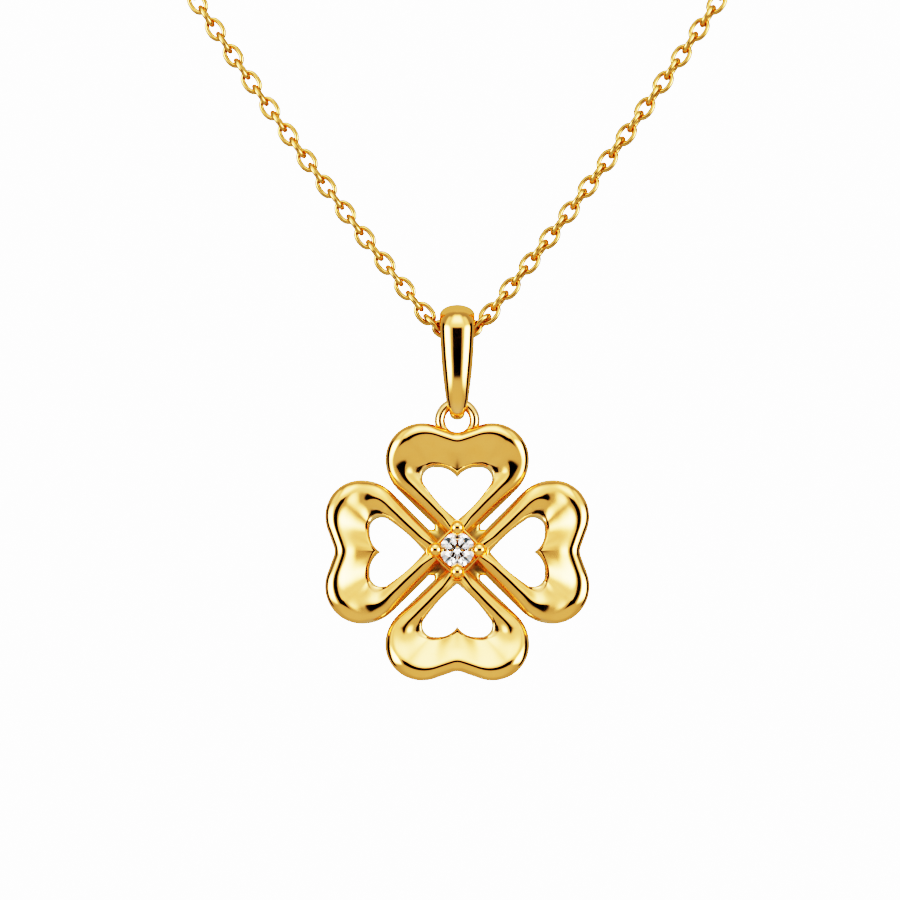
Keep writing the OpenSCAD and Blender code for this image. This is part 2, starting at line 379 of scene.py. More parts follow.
@dataclass(frozen=True)
class PolishedGold:
    """Polished yellow gold: a slight change of tone, faint smears, hairline scratches, and painted shade in a
    recess.

    Attributes:
        name: The material's name.
        tone: Colour of the clean metal.
        deep_tone: Colour where the polish is a little duller.
        gloss: Roughness of the cleanest and of the most smeared places.
        hairlines: Strength of the fine scratches.
        ripple: Strength of the soft waves that polishing leaves.
        recess: Depths behind the hanging plane, in millimetres. From the first one the polish gives way to the
            duller
        metal of walls and inner sides, whose colour is darkened by painted shade, and it comes back before the
        second. None where all of it is polished.
        edge_tone: Tint of what the metal mirrors at a grazing angle.
    """

    name: str
    tone: tuple[float, float, float]
    deep_tone: tuple[float, float, float]
    gloss: tuple[float, float] = (0.055, 0.11)
    hairlines: float = 0.012
    ripple: float = 0.02
    recess: tuple[float, float] | None = None
    edge_tone: tuple[float, float, float, float] = (1.0, 0.7, 0.38, 1.0)

    # Scale in a millimetre and detail of the noise for changes of tone, of gloss and for soft waves
    SMEARS, CLOUDS, WAVES = (0.9, 4), (2.3, 6), (1.4, 1)
    # Values of the first of them at which the metal has its deep and its clean tone
    TONES_AT = (0.35, 0.62)
    # The same for scratches, after their own scales along X, Y and Z
    SCRATCHES, BRUSHED, CROSSED = (1.0, 3), (30, 3, 1.2), (1.5, 3, 26)
    WAVE_HEIGHT, SCRATCH_DEPTH = 0.05 * MM, 0.01 * MM
    # Across the recess: share of the duller metal and of its painted shade, and the painted shade's colours,
    # darker further back
    DULL_SHADE_SHARE = ((0, 0), (0.22, 0.8), (0.4, 1), (0.62, 1), (0.85, 0))
    PAINTED_SHADE_TONES = (
        (0, (0.95, 0.6, 0.28)), (0.25, (0.8, 0.56, 0.29)), (0.45, (0.62, 0.4, 0.16)), (0.6, (0.48, 0.26, 0.07)))
    DULL_GLOSS = 0.3

    def material(self) -> Material:
        """Builds the shader graph.

        Returns:
            The material.
        """
        sketch = NodeSketch(self.name)
        plain = sketch.object_places()
        smears = sketch.noise(plain, *self.SMEARS)
        tone = sketch.ramp(smears, list(zip(self.TONES_AT, (self.deep_tone, self.tone))))
        gloss = sketch.spread(sketch.noise(plain, *self.CLOUDS), *self.gloss)
        if self.recess:
            depth = sketch.add("SeparateXYZ", {"Vector": plain}).outputs["Y"]
            deep = sketch.spread(depth, 0.0, 1.0, *self.recess)
            dull_shade = sketch.ramp(deep, [(place, (share,) * 3) for place, share in self.DULL_SHADE_SHARE])
            # Painted shade: the recess's colour darkens towards the back; the roughness mixed in below is the
            # duller polish
            tone = sketch.mixed(dull_shade, tone, sketch.ramp(deep, self.PAINTED_SHADE_TONES))
            gloss = sketch.spread(dull_shade, gloss, self.DULL_GLOSS, 0.0, 1.0)
        brushed, crossed = (
            sketch.noise(sketch.object_places(way), *self.SCRATCHES) for way in (self.BRUSHED, self.CROSSED))
        lines = sketch.add("Math", {0: brushed, 1: crossed}, operation="MULTIPLY").outputs[0]
        waves = sketch.noise(plain, *self.WAVES)
        soft = sketch.add("Bump", {"Height": waves, "Strength": self.ripple, "Distance": self.WAVE_HEIGHT})
        fine = {
            "Height": lines, "Strength": self.hairlines, "Distance": self.SCRATCH_DEPTH,
            "Normal": soft.outputs[0],
        }
        bump = sketch.add("Bump", fine).outputs[0]
        metal = {
            "Base Color": tone, "Metallic": 1.0, "Roughness": gloss, "Specular Tint": self.edge_tone,
            "Normal": bump,
        }
        return sketch.done(sketch.add("BsdfPrincipled", metal).outputs[0])


@dataclass(frozen=True)
class ClearStone:
    """A colourless cut stone with a diamond's refraction.

    Attributes:
        name: The material's name.
        refraction: Index of refraction.
    """

    name: str = "clear_stone"
    refraction: float = 2.417

    # Scale and detail of the faint feathers, and their tints
    FEATHERS = (3.0, 4)
    TINTS = ((0.3, (0.985, 0.985, 0.99)), (0.6, (1, 1, 1)))

    def material(self) -> Material:
        """Builds the shader graph, with faint feathers in the body colour.

        Returns:
            The material.
        """
        sketch = NodeSketch(self.name)
        tint = sketch.ramp(sketch.noise(sketch.object_places(), *self.FEATHERS), self.TINTS)
        glass = {
            "Base Color": tint, "Roughness": 0.0, "IOR": self.refraction, "Transmission Weight": 1.0,
        }
        return sketch.done(sketch.add("BsdfPrincipled", glass).outputs[0])


@dataclass(frozen=True)
class StudioGlow:
    """Light of the studio's dome, as strong as its own glow attribute.

    Attributes:
        name: The material's name.
    """

    name: str = "dome_glow"

    # Place on the ramp for a glow of 1, and tints from dim and cool to bright and warm
    TINT_SHARE = 0.4
    TINTS = ((0, (0.75, 1.04, 1.2)), (0.2, (0.95, 1.01, 1.03)), (0.4, (1, 0.98, 0.97)), (1, (1, 0.965, 0.92)))

    def material(self) -> Material:
        """Builds the shader graph.

        Returns:
            The material.
        """
        sketch = NodeSketch(self.name)
        glow = sketch.add("Attribute", attribute_name="glow").outputs["Fac"]
        share = sketch.add("Math", {0: glow, 1: self.TINT_SHARE}, operation="MULTIPLY").outputs[0]
        tint = sketch.ramp(share, self.TINTS)
        return sketch.done(sketch.add("Emission", {"Color": tint, "Strength": glow}).outputs[0])


@dataclass(frozen=True)
class PalePaper:
    """Matt pale paper of the studio floor.

    Attributes:
        name: The material's name.
        rough: Its roughness.
    """

    name: str = "pale_paper"
    rough: float = 0.9

    # Scale of the faint grain, and its tints
    GRAIN = (0.05, 0.05, 0.05)
    TINTS = ((0.3, (0.80, 0.80, 0.79)), (0.7, (0.86, 0.86, 0.85)))

    def material(self) -> Material:
        """Builds the shader graph, with a faint grain.

        Returns:
            The material.
        """
        sketch = NodeSketch(self.name)
        tone = sketch.ramp(sketch.noise(sketch.object_places(self.GRAIN), 1.0, 5), self.TINTS)
        return sketch.done(sketch.add("BsdfPrincipled", {"Base Color": tone, "Roughness": self.rough}).outputs[0])


CLASP_GOLD = PolishedGold("polished_gold", (1.0, 0.465, 0.135), (0.98, 0.435, 0.12))
# The bail's and the clover's gold darken in their recesses: painted shade, together with a duller polish
BAIL_GOLD = replace(CLASP_GOLD, name="bail_gold", recess=(-1.0, 1.5))
CLOVER_GOLD = replace(CLASP_GOLD, name="clover_gold", recess=(-0.35, 0.56))
# The chain's gold is a darker copy of the same gold: painted shade, on top of its rougher polish
CHAIN_GOLD = PolishedGold("chain_gold", (0.68, 0.345, 0.1), (0.64, 0.315, 0.085), (0.09, 0.16))


def make_piece(
    name: str, shells: list[Shell], material: Material, body: Body, node: str, sharp: float = 35.0
) -> None:
    """Puts shells into one mesh object, in metres, shaded smooth but for its sharp edges. Then rides
    it on its body, hides the node that it stands for, and logs it.

    Args:
        name: The object's name.
        shells: Closed shells in millimetres, in the necklace's frame.
        material: The finish of the whole piece.
        body: The body that it moves with.
        node: Node of the solid model that it replaces.
        sharp: Edges that turn by more than this many degrees stay sharp.
    """
    starts = np.cumsum([0] + [len(s.points) for s in shells])
    faces = [row for s, k in zip(shells, starts) for block in (s.quads, s.tris) for row in (block + k).tolist()]
    mesh = bpy.data.meshes.new(name)
    mesh.from_pydata((np.concatenate([s.points for s in shells]) * MM).tolist(), [], faces)
    mesh.polygons.foreach_set("use_smooth", np.ones(len(faces), bool))
    mesh.set_sharp_from_angle(angle=np.radians(sharp))
    mesh.materials.append(material)
    mesh.update()
    piece = bpy.data.objects.new(name, mesh)
    bpy.context.scene.collection.objects.link(piece)
    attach(piece, body.value)
    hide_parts(node)
    LOG.info("%s: %d faces on %s", name, len(faces), body.value)


@dataclass
class Petal:
    """One pierced heart of the clover, standing up along +Z, as a closed band.

    Half of its outline is a straight arm at 45 degrees, a round end of two arcs and the way into
    the notch; the same goes for the edge of the pierced heart. A section of the band joins the two
    edges at each station. On the round end the front is a rim near the outer edge and a dish that
    falls from it to the pierced heart; on the arms it is a rounded roof.

    Attributes:
        reach: Distance of its tip from the clover's centre.
        half_w: Half of its widest part.
        lobe_r: Radius of the round ends.
        notch_turn: Turn of a round end past its tip, in degrees.
        notch_r: Radius at the bottom of the notch.
        gap: Gap to the next petal.
        arm_w: Width of an arm.
        hole_reach: Reach of the pierced heart.
        corner_r: Radius of the heart's outer corners.
        end_r: Radius of the two arcs at the heart's inner notch.
        end_turn: Turn of those arcs, in degrees.
        back_y: The flat back's distance behind the hanging plane.
        steps: Steps along the arm, the round end and the notch.
        blend: Where the sections change: the share of the arm where its own begins to go, the shares
            of the round end where it has gone, where the tip's begins and over which that comes in,
            and the share of the notch by which the notch's is complete.
        soft_dip: Dip at the notch of the soft line that the front follows.
        calming: Width of the bell curve that averages that line, in stations.
        calm_band: Share of the width where the calm outer line begins to lead, and the share over
            which it comes in.
        late: Power of the share by which the heart's own edge comes in.
        hole_bow: Bow of the heart's straight sides into the arms.
        point_drop: Drop of the heart's point below the corner of its straight sides.
        corner_haste: Power by which the stations hurry round the heart's outer corner.
        wall: Share of an arm's width that its outer wall takes.
        root: Share of an arm that is its root.
        root_pull: How strongly the ridge of an arm bends towards the outer edge at its root.
    """

    reach: float = 7.47
    half_w: float = 4.07
    lobe_r: float = 2.09
    notch_turn: float = 20.0
    notch_r: float = 0.8
    gap: float = 0.4
    arm_w: float = 1.24
    hole_reach: float = 4.93
    corner_r: float = 0.66
    end_r: float = 1.25
    end_turn: float = 59.0
    back_y: float = 0.56
    steps: tuple[int, int, int] = (30, 66, 34)
    blend: tuple[float, ...] = (0.6, 0.36, 0.31, 0.47, 0.85)
    soft_dip: float = 0.25
    calming: int = 6
    calm_band: tuple[float, float] = (0.15, 0.4)
    late: int = 5
    hole_bow: float = 0.1
    point_drop: float = 0.17
    corner_haste: float = 0.5
    wall: float = 0.24
    root: float = 0.4
    root_pull: float = 1.0

    # Section from the outer wall over the front to the heart's edge. Each pair is a share of the
    # width and a height: on the arm, beside the round end and at its tip. The last column is the
    # height at the notch, where the shares are the tip's
    SECTION = np.array([
        (0.05, 0, 0.023, 0, 0.023, 0, 0),
        (0.01, 0.05, 0.006, 0.12, 0.006, 0.12, 0.12),
        (0, 0.12, 0, 0.33, 0, 0.42, 0.42),
        (0.03, 0.22, 0, 0.47, 0, 0.859, 0.859),
        (0.065, 0.34, 0.004, 0.57, 0.004, 1.024, 1.024),
        (0.1, 0.455, 0.015, 0.655, 0.0125, 1.099, 1.099),
        (0.135, 0.565, 0.035, 0.735, 0.035, 1.175, 1.175),
        (0.17, 0.67, 0.06, 0.795, 0.07, 1.247, 1.247),
        (0.205, 0.765, 0.09, 0.85, 0.12, 1.319, 1.319),
        (0.24, 0.84, 0.125, 0.895, 0.175, 1.374, 1.374),
        (0.28, 0.89, 0.165, 0.93, 0.233, 1.395, 1.395),
        (0.33, 0.925, 0.21, 0.957, 0.275, 1.385, 1.385),
        (0.39, 0.957, 0.26, 0.981, 0.32, 1.355, 1.359),
        (0.45, 0.988, 0.31, 1.002, 0.37, 1.313, 1.322),
        (0.51, 1.022, 0.36, 1.018, 0.43, 1.259, 1.277),
        (0.565, 1.038, 0.405, 1.029, 0.5, 1.198, 1.228),
        (0.62, 1.045, 0.45, 1.032, 0.57, 1.138, 1.185),
        (0.68, 1.042, 0.5, 1.012, 0.64, 1.08, 1.147),
        (0.735, 1.03, 0.56, 0.977, 0.71, 1.024, 1.109),
        (0.79, 1.009, 0.63, 0.932, 0.78, 0.969, 1.071),
        (0.845, 0.98, 0.71, 0.887, 0.85, 0.915, 1.033),
        (0.895, 0.955, 0.8, 0.85, 0.91, 0.87, 0.999),
        (0.945, 0.928, 0.92, 0.81, 0.955, 0.835, 0.973),
        (1, 0.42, 1, 0.45, 1, 0.45, 0.45),
        (0.97, 0, 0.985, 0, 0.985, 0, 0)])

    def edges(self) -> tuple[np.ndarray, np.ndarray]:
        """Half of the outer edge and half of the heart's edge, as (across, out), by stations.

        Returns:
            The two edges, with the same number of points.
        """
        shift = self.gap / np.sqrt(2)
        lobe_c = np.array([self.half_w - self.lobe_r, self.reach - self.lobe_r])
        side_r = (lobe_c[1] - self.half_w - shift) / (np.sqrt(2) - 1)
        leaving = turned(90 + self.notch_turn)
        straight = (lobe_c[0] + (self.lobe_r + self.notch_r) * leaving[0]) / leaving[1]
        notch_c = lobe_c + (self.lobe_r + self.notch_r) * leaving - straight * leaving[::-1] * (1, -1)
        point = shift + self.arm_w * np.sqrt(2)
        corner_c = np.array([
            self.hole_reach - self.corner_r * (1 + np.sqrt(2)) - point, self.hole_reach - self.corner_r])
        end_c = np.array([self.end_r * np.sin(np.radians(self.end_turn)), self.hole_reach - self.end_r])
        arm_in = corner_c + self.corner_r * np.array([1, -1]) / np.sqrt(2)
        arm_out = arm_in + self.arm_w * np.array([1, -1]) / np.sqrt(2)
        along = np.linspace(0, 1, 24)[:, None]
        bow = self.hole_bow * np.sin(np.pi * along) * np.array([1, -1]) / np.sqrt(2)
        outer = self.stations(
            np.array([(0, shift), arm_out]),
            np.concatenate([
                [arm_out], arc((self.half_w - side_r, lobe_c[1]), side_r, -45, 0),
                arc(lobe_c, self.lobe_r, 0, 90)]),
            np.concatenate([
                arc(lobe_c, self.lobe_r, 90, 90 + self.notch_turn),
                arc(notch_c, self.notch_r, self.notch_turn - 90, -90)]), 1.0)
        inner = self.stations(
            (1 - along) * (0, point - self.point_drop) + along * arm_in + bow,
            arc(corner_c, self.corner_r, -45, 90),
            np.concatenate([
                [(corner_c[0], self.hole_reach)], arc(end_c, self.end_r, 90, 90 + self.end_turn)[:-1],
                [(0, end_c[1] + self.end_r * np.cos(np.radians(self.end_turn)))]]), self.corner_haste)
        return outer, inner

    def stations(self, arm: np.ndarray, lobe: np.ndarray, end: np.ndarray, haste: float) -> np.ndarray:
        """One edge walked along its three parts, in equal steps but for the middle part, where the
        way gone is the share of the steps raised to a power.

        Args:
            arm: Path along the arm.
            lobe: Path along the round end.
            end: Path into the notch.
            haste: The power. A small one hurries round the start of the round end.

        Returns:
            The stations.
        """
        arm_steps, lobe_steps, end_steps = self.steps
        uneven = lengths_along(lobe)[-1] * (np.arange(lobe_steps) / lobe_steps) ** haste
        return np.concatenate([walk(arm, arm_steps)[:-1], at_lengths(lobe, uneven), walk(end, end_steps)])

    def smoothed(self, line: np.ndarray) -> np.ndarray:
        """A line averaged over its stations by a bell curve that reaches three widths to each side.

        Args:
            line: Points as (across, out). Both its ends lie on the petal's axis and are mirrored.

        Returns:
            The averaged line.
        """
        reach = 3 * self.calming
        weight = np.exp(-((np.arange(-reach, reach + 1) / self.calming) ** 2))
        ends = [line[reach:0:-1] * (-1, 1), line, line[-2 : -reach - 2 : -1] * (-1, 1)]
        return np.stack([np.convolve(c, weight / weight.sum(), "valid") for c in np.concatenate(ends).T], -1)

    def sections(self) -> np.ndarray:
        """Share and height of each point of the section, for each station.

        The rows are smoothed first. Along the stations each section eases into the next one: the
        arm's, the one beside the round end, the one at its tip and the notch's.

        Returns:
            Array of stations by points by (share, height).
        """
        rows = flowing(self.SECTION, 2)
        arm, beside, tip, notch = (rows[:, pair] for pair in ([0, 1], [2, 3], [4, 5], [4, 6]))
        leave, gone, tip_from, tip_over, notch_by = self.blend
        arm_steps, lobe_steps, end_steps = self.steps
        station = np.arange(arm_steps + lobe_steps + end_steps + 1)[:, None, None]
        off_arm = ease((station - leave * arm_steps) / (arm_steps - leave * arm_steps + gone * lobe_steps))
        at_tip = ease((station - arm_steps - tip_from * lobe_steps) / (tip_over * lobe_steps))
        at_notch = ease((station - arm_steps - lobe_steps) / (notch_by * end_steps))
        round_end = (1 - at_tip) * beside + at_tip * ((1 - at_notch) * tip + at_notch * notch)
        return (1 - off_arm) * arm + off_arm * round_end

    def shell(self) -> Shell:
        """The band: up one side and down the other.

        A point of a section lies at its share of the way from the outer edge to a soft line near
        the heart's edge. Past the outer wall a calm line takes over from the outer edge. At the
        notch both lines dip by one wave of a cosine, and from the middle of the arm on the soft
        line is averaged. The way from the soft line to the heart's own edge comes in with a high
        power of the share, so that the heart's sharp notch leaves the front smooth.

        Returns:
            The closed shell.
        """
        outer, inner = self.edges()
        end = slice(self.steps[0] + self.steps[1], None)
        calm, soft = outer.copy(), inner.copy()
        for line, dip in ((calm, np.ptp(outer[end, 1])), (soft, self.soft_dip)):
            across = line[end, 0] / line[end, 0].max()
            line[end, 1] = line[end, 1].max() - dip * (1 + np.cos(np.pi * across)) / 2
        soft += ease(np.arange(len(soft)) / self.steps[0] - 0.5)[:, None] * (self.smoothed(soft) - soft)
        share, height = np.moveaxis(self.sections(), 2, 0)
        root = 1 - ease(np.arange(len(share)) / (self.root * self.steps[0]))
        inside = np.clip((share - self.wall) / (1 - self.wall), 0, None) ** (1 + self.root_pull * root[:, None])
        share = np.where(share > self.wall, self.wall + (1 - self.wall) * inside, share)
        s = share[..., None]
        start, over = self.calm_band
        edge = outer[:, None] + (calm - outer)[:, None] * ease((s - start) / over)
        flat = edge + (soft[:, None] - edge) * s + (inner - soft)[:, None] * s**self.late
        right = np.stack([flat[..., 0], self.back_y - height, flat[..., 1]], -1)
        left = right[-2:0:-1] * (-1, 1, 1)
        return loft(np.concatenate([right, left]), joined=True)


@dataclass
class Setting:
    """Four ball prongs with low collars on a web, and the straight bars between them.

    Attributes:
        back_y: Depth of the web's back, a hair inside the petals' backs.
        tip_r: Distance of a ball from the stone's axis.
        foot_r: Distance of a prong's foot from that axis.
        ball_y: Depth of the balls.
        foot_y: Depth of the prongs' feet.
        bar_y: Depth of the bars.
        ball_r: Radius of a ball.
        flat: Length of a ball along its prong as a share of its width.
        collar_r: Mean radius of the low collar round a prong.
        collar_wire_r: Radius of its wire.
        collar_out: Distance of its middle past the ball's, seen from the stone's axis.
        collar_y: Depth of the collars.
        prong_r: Radius of a prong at its foot and below its ball.
        bar_r: Radius of a bar.
        web_r: Radius of the web under the petals.
        bay: How far past that radius the web reaches in the middle of a slit.
        bay_turn: Width of the narrow bell curve that draws its outline in there, in degrees.
        swell: Height of the wide bell curve that swells the outline round a slit, in bays.
        swell_turn: Width of that curve, in widths of the narrow one.
    """

    back_y: float = 0.54
    tip_r: float = 1.21
    foot_r: float = 1.5
    ball_y: float = -1.26
    foot_y: float = 0.1
    bar_y: float = -0.49
    ball_r: float = 0.39
    flat: float = 0.74
    collar_r: float = 0.4
    collar_wire_r: float = 0.08
    collar_out: float = 0.1
    collar_y: float = -0.36
    prong_r: tuple[float, float] = (0.25, 0.22)
    bar_r: float = 0.13
    web_r: float = 1.58
    bay: float = 0.3
    bay_turn: float = 9.0
    swell: float = 4.0
    swell_turn: float = 2.2

    # Rounded edge of the web, as (height over its back, distance in from its outline)
    WEB_EDGE = np.array([
        (0.0, 0.12), (0.04, 0.03), (0.13, 0), (0.23, 0.03), (0.31, 0.12), (0.36, 0.28), (0.38, 0.6), (0.38, 1.2)])

    def place(self, r: float, y: float, turn: float) -> np.ndarray:
        """A point at a distance from the stone's axis and a depth, on the side of an angle."""
        c, s = turned(turn)
        return np.array([r * c, y, r * s])

    def prong(self, turn: float) -> Shell:
        """One prong: a slender taper that ends a hair short of a ball, and the ball's profile from
        where it is as wide as the prong to 4 degrees short of its pole.

        Args:
            turn: Its side, as an angle in degrees.

        Returns:
            The shell.
        """
        foot, tip = self.place(self.foot_r, self.foot_y, turn), self.place(self.tip_r, self.ball_y, turn)
        length = np.linalg.norm(tip - foot)
        neck = np.degrees(np.arcsin(self.prong_r[1] / self.ball_r))
        ball = (length, 0.0) + self.ball_r * turned(np.linspace(180 - neck, 4, 26)) * (self.flat, 1)
        post = np.stack([np.linspace(0, ball[0, 0] - 0.02, 8), np.linspace(*self.prong_r, 8)], -1)
        return spun(foot, tip, np.concatenate([post, ball]), 32)

    def bar(self, turn: float) -> Shell:
        """One straight bar, from a prong's depth on one side to the next side's."""
        ends = [self.place(self.foot_r, self.bar_y, turn + step) for step in (0, 90)]
        return hull_of_balls(np.array(ends), self.bar_r, 24, 12)

    def collar(self, turn: float) -> Shell:
        """The low collar of wire round a prong's neck, where the arms run out."""
        middle = self.place(self.tip_r + self.collar_out, self.collar_y, turn)
        return wire_ring(self.collar_r, self.collar_wire_r, 48, 16).moved(middle)

    def web(self) -> Shell:
        """The web: a flat-backed disc with a rounded edge.

        Its outline is the web's radius plus, at each slit, a wide bell curve that swells it less a
        narrow one that draws it in again in the slit's middle.

        Returns:
            The shell.
        """
        angle = np.linspace(0, 360, 180, endpoint=False)
        off_slit = (angle % 90 - 45) / self.bay_turn
        wide, narrow = np.exp(-((off_slit / self.swell_turn) ** 2)), np.exp(-(off_slit**2))
        edge = self.web_r + self.bay * (self.swell * wide - (self.swell - 1) * narrow)
        profile = flowing(self.WEB_EDGE, 4)
        reach = edge - profile[:, 1:]
        depth = self.back_y - profile[:, :1] + 0 * reach
        x, z = turned(angle).T
        return loft(np.stack([reach * x, depth, reach * z], -1), joined=False)

    def shells(self) -> list[Shell]:
        """The web, prongs, bars and collars."""
        return [self.web()] + [make(t) for make in (self.prong, self.bar, self.collar) for t in SIDES]


@dataclass
class Clover:
    """The clover: four petals, the setting, and the ring soldered on the top petal.

    Attributes:
        petal: The petal that all four repeat.
        setting: The prongs, their web and the bars.
        upright_share: Length of the upright petals as a share of the side ones.
        ring_r: Mean radius of the ring.
        ring_wire_r: Radius of its wire.
        ring_up: Height of its middle above the clover's centre.
        fillet_drop: Drop of a fillet's upper and lower corners under the ring's middle.
        fillet_x: Distance aside of its two lower corners.
        fillet_share: Radius of its round edges as a share of the wire's.
    """

    petal: Petal = field(default_factory=Petal)
    setting: Setting = field(default_factory=Setting)
    upright_share: float = 0.975
    ring_r: float = 0.985
    ring_wire_r: float = 0.3
    ring_up: float = 7.47
    fillet_drop: tuple[float, float] = (0.45, 0.95)
    fillet_x: tuple[float, float] = (1.5, 0.5)
    fillet_share: float = 0.8

    def ring(self) -> list[Shell]:
        """The ring and the two fillets of solder that carry it.

        Returns:
            The three shells.
        """
        ring = wire_ring(self.ring_r, self.ring_wire_r).moved((0, 0, self.ring_up))
        high, low = (self.ring_up - drop for drop in self.fillet_drop)
        outer, inner = self.fillet_x
        corners = np.array([(self.ring_r, 0, high), (outer, 0, low), (inner, 0, low)])
        fillets = [hull_of_balls(corners * (side, 1, 1), self.fillet_share * self.ring_wire_r) for side in (-1, 1)]
        return [ring, *fillets]

    def build(self, metal: Material) -> None:
        """Builds and dresses the clover as one piece of metal.

        Args:
            metal: The polished gold.
        """
        petal = self.petal.shell()
        shares = (self.upright_share, 1.0, self.upright_share, 1.0)
        petals = [petal.turned_about_y(turn, share) for turn, share in zip(SIDES, shares)]
        shells = [s.moved((0, 0, CLOVER_Z)) for s in petals + self.setting.shells() + self.ring()]
        make_piece("clover_body", shells, metal, Body.PENDANT, "clover")


@dataclass
class Bail:
    """The bail: a polished loop, wide at the top and narrow at the bottom, rounder outside.

    Attributes:
        drop: From the chain's middle to the middle of the ring's wire.
        top_r: Radius round the chain of the line through its widest points.
        low_r: Radius of that line round the ring's wire.
        outside: Rise of the outer side over that line, at the top and at the bottom.
        inside: The same for the inner side.
        swell: Where that rise begins to grow, below the chain, and the height over which it does, as
            shares of the drop.
        half_w: Half width at the top.
        low_turn: Slope of the legs where they meet the lower arc, in degrees.
        bow: How late the legs draw in, as a power of the way down.
    """

    drop: float = 4.08
    top_r: float = 0.96
    low_r: float = 0.67
    outside: tuple[float, float] = (0.58, 0.28)
    inside: tuple[float, float] = (0.32, 0.25)
    swell: tuple[float, float] = (1.06, 0.6)
    half_w: float = 1.0
    low_turn: float = 22.0
    bow: float = 2.4

    # Columns: height above the chain as a share of the drop, half width as a share of the top
    WIDTH = np.array([
        (-1.194, 0.38), (-1.12, 0.45), (-1.0, 0.58), (-0.93, 0.64), (-0.48, 0.86), (0.0, 0.98), (0.265, 1.0)])

    def middle_line(self) -> np.ndarray:
        """The closed middle line in (y, z) about the chain's middle.

        An arc goes over the chain. The legs then draw in by a power of the way down, and an arc
        under the ring's wire closes the loop.

        Returns:
            The points in equal steps, the first one not repeated.
        """
        top = arc((0, 0), self.top_r, 0, 180, 60)
        low = arc((0, -self.drop), self.low_r, 180 + self.low_turn, 360 - self.low_turn, 50)
        t = np.linspace(0, 1, 60)[1:-1]
        end_y, end_z = low[-1]
        leg = np.stack([self.top_r - (self.top_r - end_y) * t**self.bow, end_z * t], -1)
        loop = np.concatenate([top, leg * (-1, 1), low, leg[::-1], top[:1]])
        return walk(loop, 240)[:-1]

    def shell(self) -> Shell:
        """Two half ovals, outer and inner, carried along the line and sized by its height.

        Returns:
            The closed shell.
        """
        line = self.middle_line()
        way = np.roll(line, -1, axis=0) - np.roll(line, 1, axis=0)
        way /= np.linalg.norm(way, axis=1, keepdims=True)
        out = np.stack([way[:, 1], -way[:, 0]], -1)
        rise = line[:, 1] / self.drop
        width_rows = flowing(self.WIDTH, 12)
        wide = self.half_w * np.interp(rise, width_rows[:, 0], width_rows[:, 1])
        begin, over = self.swell
        grown = np.sin(np.pi / 2 * np.clip((rise + begin) / over, 0, 1))[:, None]
        outside, inside = (low + (high - low) * grown for high, low in (self.outside, self.inside))
        cut = turned(np.linspace(0, 360, 48, endpoint=False))
        reach = np.where(cut[:, 1] > 0, outside, inside) * cut[:, 1]
        deep = line[:, None] + reach[..., None] * out[:, None]
        rings = np.stack([wide[:, None] * cut[:, 0], deep[..., 0], deep[..., 1]], -1)
        return loft(rings, joined=True)

    def build(self, metal: Material) -> None:
        """Builds and dresses the bail."""
        hung = self.shell().moved((0, 0, CHAIN_Z))
        make_piece("bail_loop", [hung], metal, Body.BAIL, "bail")


